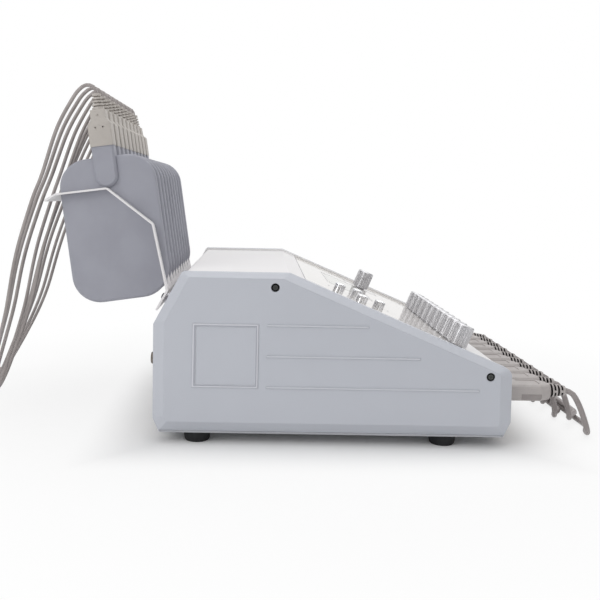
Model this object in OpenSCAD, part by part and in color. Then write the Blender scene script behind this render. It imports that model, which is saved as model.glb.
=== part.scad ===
// Ten-channel electrotherapy console with a rack of electrode pads.
// Millimetres. +Z is up, the control panel faces -Y, and z = 0 is the table.

/* [Housing] */
// Width across the two cheeks
body_w = 370; // [364:1:376]
// Length of the housing from front to rear
body_l = 364; // [361:0.5:367]
// Height of the housing above its feet
body_h = 162.5; // [160:0.5:165]
// Height of the front edge of the sloping panel above the underside
front_h = 67.9; // [66:0.1:70]
// Height of the rear wall above the underside
rear_h = 109.5; // [107:0.5:112]
// Length of the flat top
top_l = 109.2; // [106:0.1:112]
// Wall of the metal cover
cover_t = 2.6; // [2.2:0.1:3]
// How far the cover sits below the rims of the cheeks
cover_drop = 2.5; // [2:0.1:3]
// Depth of the bevel round each cheek
bevel_d = 9; // [7:0.5:11]
// Wall of the moulded cheeks
cheek_t = 3; // [2.5:0.1:3.5]
// Height of the rubber feet
foot_h = 10.5; // [10:0.5:13]

/* [Control panel] */
// Number of output channels, each with a knob, a socket and a pad
channels = 10; // [2:1:10]
// Spacing of the channel knobs
knob_pitch = 28.6; // [27:0.1:29]
// Diameter of a knob
knob_d = 21; // [19:0.5:22]
// Height of a knob
knob_h = 22.5; // [20:0.5:24]
// Number of flutes round a knob
knob_flutes = 24; // [12:1:30]
// Diameter of a push button
button_d = 12.4; // [11:0.1:13]
// Travel of a push button
button_travel = 1.5; // [1:0.1:1.6]

/* [Outputs] */
// Spacing of the output sockets
socket_pitch = 33; // [32.5:0.1:33.5]
// Height of the sockets' axis above the table
socket_z = 52.6; // [50:0.1:55]
// Length of a plug's moulded hood
hood_l = 47.5; // [46:0.5:52]
// Diameter of an output cable
cable_d = 6; // [5:0.1:6]
// Diameter of a pad's lead
lead_d = 4; // [3:0.1:4]

/* [Pads] */
// Spacing of the pads in the rack
pad_pitch = 27; // [26:0.5:28]
// Width of a pad
pad_w = 103.7; // [98:0.1:104]
// Height of a pad
pad_h = 154; // [150:1:156]
// Thickness of a pad
pad_t = 8; // [6:0.5:8.5]
// Lean of the pads towards the rear, in degrees
pad_lean = 8.6; // [8:0.1:9]
// Width of a slot in the rack
slot_w = 9.6; // [9.2:0.1:10]
// Thickness of the rack's sheet
rack_t = 2; // [1.5:0.1:2.5]

/* [Hidden] */
$fn = 40;

// --- Frame of reference ---------------------------------------------------
x_side = body_w / 2;
y_front = -243.1;
y_rear = y_front + body_l;
z_base = foot_h;
z_top = z_base + body_h;

// How far forward the slope at the rear leans, and its angle to the table
rear_run = 28;
rear_slope_a = atan2(body_h - rear_h, rear_run);
// Side outline as (y, z), anticlockwise from the rear of the underside
side_outline = [
    [y_rear - 7.2, z_base],
    [y_rear - 0.6, z_base + 13.9],
    [y_rear, z_base + rear_h],
    [y_rear - rear_run, z_top],
    [y_rear - rear_run - top_l, z_top],
    [y_front, z_base + front_h],
    [y_front + 0.1, z_base + 15.6],
    [y_front + 7.4, z_base]
];
corner_r = [2, 4, 3, 4, 4, 9, 4, 2];
// Width of the bevel along each edge of the outline
bevel_w = [13, 12, 9, 4.5, 7, 14, 13, 13];

// --- Sloping panel --------------------------------------------------------
slope_top = side_outline[4];
slope_end = side_outline[5];
slope_dir = unit(slope_end - slope_top);
slope_up = [slope_dir[1], -slope_dir[0]];
slope_a = atan2(-slope_dir[1], -slope_dir[0]);
panel_start = 19.2;
panel_end = 208.5;
panel_x = x_side - 20.2;
overlay_t = 0.8;
row_s = 197.2;
program_s = 114;
program_x = 103;
window_at = [25, 84];
window_size = [110, 52];
// Middle of the four buttons and their distance from it: up, down, left, right
button_mid = [-82, 88];
button_far = 24.4;
button_at = [for (d = [[0, -1], [0, 1], [-1, 0], [1, 0]]) button_mid + button_far * d];

// --- Knobs and their potentiometers --------------------------------------
knob_gap = 1.2;
spindle_r = 3;
spindle_l = 12;
bush_r = 4.5;
bush_bore_r = spindle_r + 0.05;
pot_r = 12;
pot_l = 11;
board_h = -18;

// --- Outputs --------------------------------------------------------------
plug_w = 31;
plug_t = 17.2;
plug_y = y_front + 2.3;
plug_round = 4;
plug_neck = [21, 15.4];
shoulder_l = 11;
relief_l = 19.3;
plug_end = plug_y - hood_l - relief_l;
// Grip hollows: width and length, how far they start from the housing, depth
grip = [18, 21];
grip_y = 16.5;
grip_d = 0.7;
side_grip_h = 6;

// --- Pads -----------------------------------------------------------------
pad_centre = [170.9, 212.6];
pad_corner_r = 30;
pad_boss_r = 12;
pad_boss_t = 17;
boss_foot = 56.4;
boss_top = 88.2;
pad_plug_t = 19;
pad_plug_end = 144.6;

// --- Rack, as (y, z) along the upper face of the sheet --------------------
rack_half_w = 135;
// Gap between the rack's flange and the plane of the cheeks' rims
rack_gap = 5;
rack_line = [
    [243.1, 241.6], [232, 248.7], [177.6, 256.2],
    [127.9, 219.1], beyond_rear_slope(148, rack_gap), beyond_rear_slope(127, rack_gap)
];
slot_rear_y = 230.5;
slot_low_z = 152;

// --- Rear panel -----------------------------------------------------------
fuse_at = [-140, 78];
inlet_at = [112, 62];
rocker_at = [70, 62];
// Surface that the rear fittings sit on, and the depth of the rocker's axle behind it
rear_face_y = y_rear - 2.7;
axle_depth = 3.5;
axle_r = 1.5;

// --- Cables ---------------------------------------------------------------
lane_pitch = 6.5;
layer_pitch = 6.4;
lane_z = cable_d / 2 + 0.1;
corner_at = [178, -300];
coil_at = [268, -185];
coil_turns = 2;
// How far in front of y = 0 each output cable reaches the table
landing = [339, 332, 328, 326, 326, 326, 325, 325, 324, 324];
connector_l = 34;
connector_d = 9;
// How far along y the output cables of the lower and the upper layer end
cable_end_y = [10, 76];

// A pad's lead as (y, z): the nearest one and the farthest one
near_lead = [
    [196.4, 363.4], [202.6, 364.6], [209, 361], [217, 350], [233, 318],
    [248, 269], [258, 242], [271, 198], [278, 166], [285, 122],
    [292, 90], [299, 57], [304, 29], [311, 10], [324, 2.1], [345, 2.1],
    [385, 2.1], [415, 2.4], [430, 3.6]
];
far_lead = [
    [196.4, 363.8], [202.8, 365.4], [210, 362], [220, 352], [240, 318],
    [262, 269], [271, 242], [287, 198], [297, 166], [309, 122],
    [321, 90], [337, 57], [352, 29], [364, 10], [379, 2.1], [395, 2.1],
    [420, 2.1], [437, 2.4], [452, 3.6]
];
lead_connector_d = 7;

// --- Functions ------------------------------------------------------------
function unit(v) = v / norm(v);
function left_of(v) = [-v[1], v[0]];
function mix(a, b, t) = a + (b - a) * t;
function last(list) = list[len(list) - 1];

// Point at height z that stands off the rear slope
function beyond_rear_slope(z, out) =
    [y_rear + (z_base + rear_h - z) / tan(rear_slope_a) + out / sin(rear_slope_a), z];

// Corner where two edges meet after moving inwards by g0 and g1
function moved_corner(p, d0, g0, d1, g1) =
    let (n0 = left_of(d0), n1 = left_of(d1), k = n0[0] * n1[1] - n0[1] * n1[0])
    p + [g0 * n1[1] - g1 * n0[1], g1 * n0[0] - g0 * n1[0]] / k;

// Outline with each edge moved inwards by its own gap
function inset(points, gaps) =
    let (n = len(points))
    [for (i = [0:n - 1])
        let (
            p = points[i],
            before = (i + n - 1) % n,
            d0 = unit(p - points[before]),
            d1 = unit(points[(i + 1) % n] - p)
        )
        moved_corner(p, d0, gaps[before], d1, gaps[i])];

function even(points, gap) = [for (p = points) gap];

// Arc of radius r that rounds the corner p between its neighbours
function fillet(before, p, after, r, steps) =
    let (
        u = unit(before - p), v = unit(after - p),
        half = acos(u * v) / 2,
        c = p + unit(u + v) * r / sin(half),
        a0 = p + u * r / tan(half) - c,
        a1 = p + v * r / tan(half) - c,
        from = atan2(a0[1], a0[0]),
        turn = atan2(a0[0] * a1[1] - a0[1] * a1[0], a0 * a1)
    )
    [for (k = [0:steps]) c + r * [cos(from + turn * k / steps), sin(from + turn * k / steps)]];

function rounded(points, radii, steps = 4) =
    let (n = len(points))
    [for (i = [0:n - 1])
        each fillet(points[(i + n - 1) % n], points[i], points[(i + 1) % n], radii[i], steps)];

// Open line with every inner corner rounded
function bent_line(points, r, steps = 3) =
    let (n = len(points))
    [
        points[0],
        for (i = [1:n - 2]) each fillet(points[i - 1], points[i], points[i + 1], r, steps),
        points[n - 1]
    ];

// Line moved to its left by t, with mitred corners
function moved_line(points, t) =
    let (n = len(points))
    [for (i = [0:n - 1])
        let (
            d0 = unit(points[max(i, 1)] - points[max(i, 1) - 1]),
            d1 = unit(points[min(i + 1, n - 1)] - points[min(i, n - 2)])
        )
        points[i] + left_of(unit(d0 + d1)) * t / (unit(d0 + d1) * d0)];

function reversed(list) = [for (i = [len(list) - 1:-1:0]) list[i]];

// Smooth curve through points chosen by hand
function curve_point(p0, p1, p2, p3, t) =
    0.5 * ((2 * p1) + (p2 - p0) * t + (2 * p0 - 5 * p1 + 4 * p2 - p3) * t * t
        + (3 * p1 - p0 - 3 * p2 + p3) * t * t * t);
function curve(points, steps) =
    let (n = len(points))
    [
        for (i = [0:n - 2], k = [0:steps - 1])
            curve_point(points[max(i - 1, 0)], points[i], points[i + 1],
                points[min(i + 2, n - 1)], k / steps),
        points[n - 1]
    ];

// Directions along a path, and a side vector carried along without twist
function tangents(path) =
    [for (i = [0:len(path) - 1])
        unit(path[min(i + 1, len(path) - 1)] - path[max(i - 1, 0)])];
function carried(directions, side, i = 0) =
    i == len(directions) ? [] :
    let (s = unit(side - (side * directions[i]) * directions[i]))
    concat([s], carried(directions, s, i + 1));

// --- Placing --------------------------------------------------------------
// An outline in (y, z) extruded along x
module across(x0, x1) {
    translate([x0, 0, 0]) rotate([90, 0, 90]) linear_extrude(x1 - x0) children();
}

// A point on the panel: x, distance down the slope; +Z then leaves the panel
module on_panel(x, s) {
    at = slope_top + slope_dir * s - slope_up * cover_drop;
    translate([x, at[0], at[1]]) rotate([slope_a, 0, 0]) children();
}

// The frame of a pad: X across the stack, Y towards the rear, Z up the pad
module on_pad(k) {
    translate([pad_x(k), pad_centre[0], pad_centre[1]]) rotate([-pad_lean, 0, 0]) children();
}

// The rear slope at the height of the rack's screws; +Z then points outwards
module on_rear_slope(x, out = 0) {
    at = beyond_rear_slope(rack_screw_z, 0);
    translate([x, at[0], at[1]]) rotate([-rear_slope_a, 0, 0]) translate([0, 0, out]) children();
}

module at_feet() {
    for (x = [-foot_x, foot_x], y = foot_y) translate([x, y, 0]) children();
}

module mirrored_x() {
    children();
    mirror([1, 0, 0]) children();
}

function pad_x(k) = (k - (channels - 1) / 2) * pad_pitch;
function socket_x(k) = (k - (channels - 1) / 2) * socket_pitch;
function knob_x(k) = (k - (channels - 1) / 2) * knob_pitch;

// Closed solid between two outlines with the same number of points
module loft(low, high, x0, x1) {
    n = len(low);
    points = concat([for (p = low) [x0, p[0], p[1]]], [for (p = high) [x1, p[0], p[1]]]);
    polyhedron(points, concat(
        [[for (i = [0:n - 1]) i]],
        [[for (i = [n - 1:-1:0]) n + i]],
        [for (i = [0:n - 1]) [i, n + i, n + (i + 1) % n, (i + 1) % n]]
    ));
}

// Round tube along a path
module tube(path, d, sides = 8) {
    n = len(path);
    along = tangents(path);
    side = carried(along, [1, 0, 0]);
    points = [for (i = [0:n - 1], j = [0:sides - 1])
        path[i] + d / 2 * (cos(360 * j / sides) * side[i]
            + sin(360 * j / sides) * cross(along[i], side[i]))];
    polyhedron(points, concat(
        [[for (j = [sides - 1:-1:0]) j]],
        [[for (j = [0:sides - 1]) (n - 1) * sides + j]],
        [for (i = [0:n - 2], j = [0:sides - 1])
            let (a = i * sides + j, b = i * sides + (j + 1) % sides)
            [a, b, b + sides, a + sides]]
    ));
}

// --- Housing --------------------------------------------------------------
// Screws of the cheeks, in (y, z), and the radius of their threads
screw_at = [[-1.2, 159.7], [-218.9, 73.6]];
screw_r = 2;
frame_mark = [14.8, 58.8, 80.3, 122.5];
ridge_marks = [[-95.2, 121.7], [-147.7, 90.6], [-207.3, 59.5]];
ridge_start = 6.3;
mark_h = 0.8;
cheek_in = 20;
foot_x = 163;
foot_y = [-176, 76];
foot_bore_r = 2.1;
tray_t = 2;
tray_x = x_side - 7.8;
tray_y0 = y_front + 8.5;
tray_y1 = y_rear - 8.3;
rack_screw_x = [-105, 0, 105];
rack_screw_z = 135;

module raised_marks() {
    x0 = -x_side - mark_h;
    across(x0, -x_side + 0.5) difference() {
        translate([frame_mark[0], frame_mark[1]])
            square([frame_mark[2] - frame_mark[0], frame_mark[3] - frame_mark[1]]);
        translate([frame_mark[0] + 2.8, frame_mark[1] + 2.8])
            square([frame_mark[2] - frame_mark[0] - 5.6, frame_mark[3] - frame_mark[1] - 5.6]);
    }
    across(x0, -x_side + 0.5) for (m = ridge_marks)
        translate([m[0], m[1] - 1]) square([ridge_start - m[0], 2]);
}

module cheek() {
    rim = rounded(side_outline, corner_r);
    face = rounded(inset(side_outline, bevel_w), corner_r * 0.6);
    hollow = inset(side_outline, even(side_outline, cheek_t));
    x_rim = -x_side + bevel_d;
    x_in = -x_side + cheek_in;
    difference() {
        union() {
            difference() {
                union() {
                    loft(face, rim, -x_side, x_rim);
                    across(x_rim, x_in) polygon(rim);
                }
                loft(rounded(inset(side_outline, bevel_w + even(bevel_w, 2)), corner_r * 0.5),
                    rounded(hollow, corner_r * 0.7), -x_side + cheek_t, x_rim + 1);
                across(x_rim + 0.9, x_in + 1) polygon(rounded(hollow, corner_r * 0.7));
            }
            for (p = screw_at)
                translate([-x_side + 1, p[0], p[1]]) rotate([0, 90, 0]) cylinder(r = 6, h = 17);
        }
        for (p = screw_at) translate([-x_side - 1, p[0], p[1]]) rotate([0, 90, 0]) {
            cylinder(r = 4.3, h = 4.5);
            cylinder(r = screw_r + 0.1, h = 22);
        }
        // Step that the base tray slides into
        translate([-tray_x - 0.3, tray_y0 - 0.3, z_base - 1])
            cube([30, tray_y1 - tray_y0 + 0.6, 3.6]);
    }
}

module left_cheek() {
    color([0.75, 0.76, 0.79]) {
        cheek();
        raised_marks();
    }
}

module right_cheek() {
    color([0.75, 0.76, 0.79]) mirror([1, 0, 0]) {
        cheek();
        raised_marks();
    }
}

module cheek_screws() {
    color([0.1, 0.1, 0.11]) mirrored_x() for (p = screw_at)
        translate([-x_side + 0.6, p[0], p[1]]) rotate([0, 90, 0]) difference() {
            rotate_extrude() polygon([
                [0, 0], [3.4, 0], [4, 0.7], [4, 2.9], [screw_r, 2.9], [screw_r, 22.4], [0, 24.4]
            ]);
            for (a = [0, 90]) rotate(a) translate([-2.2, -0.45, -1]) cube([4.4, 0.9, 2.4]);
        }
}

module top_cover() {
    outer = rounded(inset(side_outline, even(side_outline, cover_drop)), corner_r);
    // its inside runs on through the underside, so that the cover is open below
    wall = [for (i = [0:len(side_outline) - 1])
        i == len(side_outline) - 1 ? -8 : cover_drop + cover_t];
    inner = rounded(inset(side_outline, wall), corner_r * 0.6);
    half = x_side - bevel_d - 1.5;
    color([0.93, 0.92, 0.92]) difference() {
        union() {
            difference() {
                across(-half, half) polygon(outer);
                across(-half - 1, half + 1) polygon(inner);
            }
            screw_tabs();
        }
        translate([-half - 1, y_front - 5, 0]) cube([2 * half + 2, body_l + 10, z_base + 2.6]);
        // Relief so that the cover slips inside the walls of the cheeks
        mirrored_x() across(-half - 1, -x_side + cheek_in + 0.3)
            difference() {
                polygon(rounded(inset(side_outline, even(side_outline, -2)), corner_r));
                polygon(rounded(inset(side_outline, even(side_outline, cheek_t + 0.3)),
                    corner_r * 0.6));
            }
        panel_openings();
        socket_openings();
        rear_openings();
    }
}

// Tabs under the cover that the screws of the cheeks are driven into
module screw_tabs() {
    tab_x = -x_side + cheek_in + 0.6;
    tab_w = 16;
    mirrored_x() difference() {
        across(tab_x, tab_x + 2.4) intersection() {
            polygon(inset(side_outline, even(side_outline, cover_drop + 1)));
            for (p = screw_at) translate([p[0] - tab_w / 2, p[1] - tab_w / 2]) square([tab_w, 40]);
        }
        for (p = screw_at) translate([tab_x - 1, p[0], p[1]]) rotate([0, 90, 0])
            cylinder(r = screw_r + 0.1, h = 5);
    }
}

module panel_openings() {
    on_panel(0, (panel_start + panel_end) / 2)
        translate([-panel_x, -(panel_end - panel_start) / 2, -overlay_t])
            cube([2 * panel_x, panel_end - panel_start, overlay_t + 1]);
    for (k = [0:channels - 1]) on_panel(knob_x(k), row_s)
        translate([0, 0, -6]) cylinder(r = bush_r + 0.1, h = 8);
    on_panel(program_x, program_s) translate([0, 0, -6]) cylinder(r = bush_r + 0.1, h = 8);
    for (b = button_at) on_panel(b[0], b[1])
        translate([0, 0, -6]) cylinder(d = button_d + 0.7, h = 8);
    on_panel(window_at[0], window_at[1])
        translate([-window_size[0] / 2 + 3, -window_size[1] / 2 + 3, -6])
            cube([window_size[0] - 6, window_size[1] - 6, 8]);
}

module socket_openings() {
    for (k = [0:channels - 1])
        translate([socket_x(k) - 9, y_front - 2, socket_z - 4.75]) cube([18, 9.5, 9.5]);
}

module rear_openings() {
    translate([fuse_at[0], y_rear + 3, fuse_at[1]]) rotate([90, 0, 0]) cylinder(r = 6.1, h = 9);
    translate([inlet_at[0] - 14, y_rear - 7, inlet_at[1] - 10.5]) cube([28, 10, 21]);
    translate([rocker_at[0] - 6.7, y_rear - 7, rocker_at[1] - 9.8]) cube([13.4, 10, 19.6]);
    for (x = rack_screw_x) on_rear_slope(x) cylinder(r = 2.1, h = 20, center = true);
}

module base_tray() {
    flange_x = x_side - cheek_in - 1;
    flange_y = [y_front + 14, y_rear - 14 - tray_t];
    flange_h = 16;
    vent = [4, 60];
    color([0.7, 0.71, 0.73]) difference() {
        union() {
            translate([-tray_x, tray_y0, z_base]) cube([2 * tray_x, tray_y1 - tray_y0, tray_t]);
            for (y = flange_y) translate([-flange_x, y, z_base])
                cube([2 * flange_x, tray_t, flange_h]);
        }
        at_feet() cylinder(r = foot_bore_r, h = 2 * foot_h);
        for (i = [-4:4]) translate([4 * i * vent[0] - vent[0] / 2, -vent[1], z_base - 1])
            cube([vent[0], vent[1], tray_t + 2]);
    }
}

module rubber_feet() {
    color([0.05, 0.05, 0.06]) at_feet() rotate_extrude() polygon([
        [5, 0], [11.8, 0], [12.8, 1.2], [14.2, foot_h - 1], [14.2, foot_h],
        [foot_bore_r, foot_h], [foot_bore_r, 5], [5, 5]
    ]);
}

module foot_screws() {
    color([0.6, 0.6, 0.62]) at_feet() translate([0, 0, 2]) difference() {
        rotate_extrude() polygon([[0, 0], [3, 0], [3.8, 0.8], [3.8, 3], [2, 3], [2, 18], [0, 19]]);
        for (a = [0, 90]) rotate(a) translate([-2, -0.4, -1]) cube([4, 0.8, 2.2]);
    }
}

// --- Control panel --------------------------------------------------------
module panel_overlay() {
    gap = 0.2;
    color([0.9, 0.88, 0.87]) difference() {
        on_panel(0, (panel_start + panel_end) / 2)
            translate([-panel_x + gap, -(panel_end - panel_start) / 2 + gap, -overlay_t])
                cube([2 * (panel_x - gap), panel_end - panel_start - 2 * gap, overlay_t]);
        for (k = [0:channels - 1]) on_panel(knob_x(k), row_s)
            translate([0, 0, -4]) cylinder(r = bush_r + 0.1, h = 8);
        on_panel(program_x, program_s) translate([0, 0, -4]) cylinder(r = bush_r + 0.1, h = 8);
        for (b = button_at) on_panel(b[0], b[1])
            translate([0, 0, -4]) cylinder(d = button_d + 0.7, h = 8);
        on_panel(window_at[0], window_at[1])
            translate([-window_size[0] / 2, -window_size[1] / 2, -4])
                cube([window_size[0], window_size[1], 8]);
    }
}

module display_window() {
    color([0.12, 0.14, 0.16]) on_panel(window_at[0], window_at[1])
        translate([-window_size[0] / 2 + 0.2, -window_size[1] / 2 + 0.2, -overlay_t])
            cube([window_size[0] - 0.4, window_size[1] - 0.4, overlay_t]);
}

module control_board() {
    color([0.1, 0.4, 0.25]) {
        on_panel(0, 112) translate([-160, -60, board_h]) difference() {
            cube([320, 127, 1.6]);
            for (x = [8, 312], y = [8, 119]) translate([x, y, -1]) cylinder(r = 1.7, h = 4);
        }
        // Display module behind the window
        on_panel(window_at[0], window_at[1])
            translate([-window_size[0] / 2 + 4, -window_size[1] / 2 + 4, board_h + 1.6])
                cube([window_size[0] - 8, window_size[1] - 8, 12]);
        // Key switches under the buttons
        for (b = button_at) on_panel(b[0], b[1]) translate([0, 0, board_h + 1.6]) {
            translate([-3, -3, 0]) cube([6, 6, 3.5]);
            cylinder(r = 1.75, h = 4.3);
        }
    }
}

module potentiometer() {
    difference() {
        union() {
            translate([0, 0, -cover_t - pot_l]) cylinder(r = pot_r, h = pot_l);
            translate([0, 0, -cover_t]) cylinder(r = bush_r, h = cover_t + 3.5);
            translate([0, 0, 0.05]) cylinder(d = 13.8, h = 2, $fn = 6);
            translate([-6, -pot_r - 3, -cover_t - pot_l]) cube([12, 8, 1.6]);
        }
        translate([0, 0, -spindle_l - 0.5]) cylinder(r = bush_bore_r, h = spindle_l + 6);
    }
}

module potentiometers() {
    color([0.55, 0.56, 0.58]) {
        for (k = [0:channels - 1]) on_panel(knob_x(k), row_s) potentiometer();
        on_panel(program_x, program_s) potentiometer();
    }
}

module ribbed_knob() {
    r = knob_d / 2;
    top = knob_gap + knob_h;
    color([0.75, 0.75, 0.77]) difference() {
        rotate_extrude() polygon([
            [0, -spindle_l], [spindle_r, -spindle_l], [spindle_r, 6], [8, 6], [8, knob_gap],
            [r, knob_gap], [r, top - 1], [r - 1, top], [0, top]
        ]);
        for (k = [0:knob_flutes - 1]) rotate(k * 360 / knob_flutes)
            translate([r + 0.35, 0, knob_gap + 1.6]) cylinder(r = 0.85, h = knob_h - 4.4, $fn = 16);
        translate([-0.6, r - 5.5, top - 0.5]) cube([1.2, 5, 2]);
    }
}

module channel_knob(k) {
    on_panel(knob_x(k), row_s) ribbed_knob();
}

module program_knob() {
    on_panel(program_x, program_s) ribbed_knob();
}

module push_button(k) {
    r = button_d / 2;
    color([0.8, 0.8, 0.82]) on_panel(button_at[k][0], button_at[k][1]) rotate_extrude() polygon([
        [0, -board_low()], [2.6, -board_low()], [2.6, -4.9], [r + 1.3, -4.9], [r + 1.3, -3.2],
        [r, -3.2], [r, 6.2], [r - 0.5, 7.1], [r - 1.6, 7.6], [0, 7.9]
    ]);
}
// Depth of a button's stem, which stops just above its switch
function board_low() = -(board_h + 1.6 + 4.3) - button_travel - 0.1;

// --- Outputs --------------------------------------------------------------
module output_sockets() {
    color([0.7, 0.7, 0.72]) for (k = [0:channels - 1]) translate([socket_x(k), 0, socket_z]) difference() {
        union() {
            translate([-15.4, y_front + 6.8, -6.2]) cube([30.8, 1.2, 12.4]);
            translate([-8.7, y_front + 3.2, -4.4]) cube([17.4, 6, 8.8]);
            translate([-9.6, y_front + 7, -5]) cube([19.2, 9, 10]);
        }
        translate([-8.1, y_front, -3.7]) cube([16.2, 7.5, 7.4]);
        for (x = [-12.5, 12.5]) translate([x, y_front + 10, 0]) rotate([90, 0, 0])
            cylinder(r = 1.5, h = 6);
    }
}

// Moulded hood: a full body, then shoulders that narrow towards the cable
module plug_hood() {
    full = plug_section(plug_w, plug_t, plug_round);
    neck = plug_section(plug_neck[0], plug_neck[1], plug_round);
    difference() {
        union() {
            translate([0, plug_y, 0]) rotate([90, 0, 0])
                linear_extrude(hood_l - shoulder_l) polygon(full);
            translate([0, plug_y - hood_l + shoulder_l, 0]) rotate([0, 0, -90])
                loft(full, neck, 0, shoulder_l);
            // nose that enters the socket
            translate([-7.6, plug_y - 1, -3.2]) cube([15.2, 5.5, 6.4]);
        }
        // grip hollows on the upper and lower faces
        for (z = [-1, 1]) translate([-grip[0] / 2, plug_y - grip_y - grip[1], z * plug_t / 2 - grip_d])
            cube([grip[0], grip[1], 2 * grip_d]);
        // and on the sides, below the parting line
        for (x = [-1, 1]) translate([x * plug_w / 2 - grip_d, plug_y - grip_y - grip[1], -side_grip_h - 1])
            cube([2 * grip_d, grip[1], side_grip_h]);
    }
}

function plug_section(w, t, r) =
    rounded([[-w / 2, -t / 2], [w / 2, -t / 2], [w / 2, t / 2], [-w / 2, t / 2]], [r, r, r, r], 3);

module slotted_relief() {
    slot_pitch = 3.9;
    slot = 2.2;
    core = 1.2;
    reach = 20;
    // tapered sleeve along -Y, cut through by slots on alternate sides
    difference() {
        rotate([90, 0, 0]) rotate_extrude() polygon([
            [0, -0.5], [7.6, -0.5], [7.6, 3], [5.2, relief_l - 1.5], [4.6, relief_l], [0, relief_l]
        ]);
        for (k = [0:3], side = [0, 1])
            translate([0, -3.6 - k * slot_pitch, 0]) rotate([0, side * 180 + (k % 2) * 90, 0])
                translate([core, -slot / 2, -reach / 2]) cube([reach / 2, slot, reach]);
    }
}

module output_plugs() {
    color([0.7, 0.68, 0.68]) for (k = [0:channels - 1]) translate([socket_x(k), 0, socket_z]) {
        plug_hood();
        translate([0, plug_y - hood_l, 0]) slotted_relief();
    }
}

// --- Output cables --------------------------------------------------------
function lane(k) = floor(k / 2);
function layer(k) = k % 2;
function lane_y(k) = corner_at[1] - 50 + lane_pitch * lane(k);
function corner_r_of(k) = corner_at[1] - lane_y(k);
function cable_z(k) = lane_z + layer_pitch * layer(k);

// From the plug, down to the table, into its lane and round the corner
function cable_start(k) =
    let (x = socket_x(k), z = cable_z(k), drop = socket_z - z, land = -landing[k], out = plug_end - land)
    [
        [x, plug_end, socket_z],
        [x, plug_end - 0.27 * out, socket_z - 0.07 * drop],
        [x + 0.5, plug_end - 0.5 * out, socket_z - 0.3 * drop],
        [x + 2.5, plug_end - 0.7 * out, socket_z - 0.58 * drop],
        [x + 6.5, plug_end - 0.87 * out, socket_z - 0.83 * drop],
        [x + 14, land, z + 1.2],
        [x + 25, mix(land, lane_y(k), 0.25), z],
        if (land != lane_y(k)) [x + 40, mix(land, lane_y(k), 0.9), z],
        if (land != lane_y(k)) [x + 54, lane_y(k), z],
        [min(x + (land == lane_y(k) ? 40 : 69), corner_at[0] - 1), lane_y(k), z]
    ];
function cable_corner(k) =
    [for (a = [0:15:90]) [
        corner_at[0] + corner_r_of(k) * sin(a),
        corner_at[1] - corner_r_of(k) * cos(a),
        cable_z(k)
    ]];
function coil_r_of(k) = coil_at[0] - corner_at[0] - corner_r_of(k);
coil_in = coil_at[0] - corner_at[0] - 50 - cable_d / 2 - 0.6;
coil_out = coil_in + 4 * lane_pitch + cable_d + 1.2;
coil_h = 2 * layer_pitch * (coil_turns + 1) + 0.4;
function cable_entry(k) = [
    corner_at[0] + corner_r_of(k),
    coil_at[1] - sqrt(coil_out * coil_out - coil_r_of(k) * coil_r_of(k)) + 3,
    cable_z(k)
];
function cable_exit_z(k) = cable_z(k) + 2 * layer_pitch * coil_turns;
function cable_tail(k) =
    let (
        x = corner_at[0] + corner_r_of(k),
        spread_x = x + (2 - lane(k)) * 3.5,
        y = coil_at[1] + sqrt(coil_out * coil_out - coil_r_of(k) * coil_r_of(k)) - 3,
        z = cable_exit_z(k),
        z_end = connector_d / 2 + 0.1,
        z_over = layer(k) == 0 ? z_end : connector_d + cable_d / 2 + 1
    )
    [
        [x, y, z],
        [x, y + 20, z - 1 + layer(k)],
        [mix(x, spread_x, 0.5), y + 45, mix(z, z_over, 0.5)],
        [spread_x, y + 70, z_over + 1],
        [spread_x, cable_end_y[0] - 15, z_over],
        if (layer(k) == 1) [spread_x, cable_end_y[0] + connector_l + 4, z_over],
        [spread_x, cable_end_y[layer(k)] - 8, z_end + 1.2 * layer(k)],
        [spread_x, cable_end_y[layer(k)], z_end]
    ];

module output_cables() {
    color([0.6, 0.58, 0.58]) for (k = [0:channels - 1]) {
        tube(concat(
            curve(cable_start(k), 2),
            cable_corner(k),
            [cable_entry(k)]
        ), cable_d);
        tube(cable_tail(k), cable_d);
    }
}

module cable_coil() {
    color([0.6, 0.58, 0.58]) translate([coil_at[0], coil_at[1], 0]) rotate_extrude() polygon([
        [coil_in, 1], [coil_in + 1, 0], [coil_out - 1, 0], [coil_out, 1],
        [coil_out, coil_h - 1], [coil_out - 1, coil_h], [coil_in + 1, coil_h], [coil_in, coil_h - 1]
    ]);
}

module coil_ties() {
    t = 1;
    w = coil_out - coil_in;
    color([0.15, 0.15, 0.16]) for (a = [10, 130, 250]) translate([coil_at[0], coil_at[1], 0]) rotate(a)
        translate([coil_in - t, -3, 0]) difference() {
            cube([w + 2 * t, 6, coil_h + t]);
            translate([t, -1, -1]) cube([w, 8, coil_h + 1]);
        }
}

// --- Rear panel -----------------------------------------------------------
module mains_inlet() {
    color([0.1, 0.1, 0.11]) translate([inlet_at[0], rear_face_y, inlet_at[1]]) {
        difference() {
            union() {
                translate([-24, 0, -14]) cube([48, 2.5, 28]);
                translate([-13.5, -20, -10]) cube([27, 20.5, 20]);
            }
            translate([-12.2, -15, -8.2]) cube([24.4, 19, 16.4]);
            for (x = [-20, 20]) translate([x, 4, 0]) rotate([90, 0, 0]) cylinder(r = 1.7, h = 6);
        }
        for (x = [-7, 0, 7]) translate([x - 1, -17, x == 0 ? -1 : -4]) cube([2, 14, 4]);
    }
    // Frame of the power switch
    color([0.1, 0.1, 0.11]) translate([rocker_at[0], rear_face_y, rocker_at[1]]) difference() {
        union() {
            translate([-7.5, 0, -10.5]) cube([15, 1.5, 21]);
            translate([-6.5, -14, -9.6]) cube([13, 14.5, 19.2]);
        }
        translate([-5.3, -10.5, -8.4]) cube([10.6, 13, 16.8]);
        translate([0, -axle_depth, 0]) rotate([0, 90, 0])
            cylinder(r = axle_r + 0.05, h = 20, center = true);
    }
}

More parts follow.
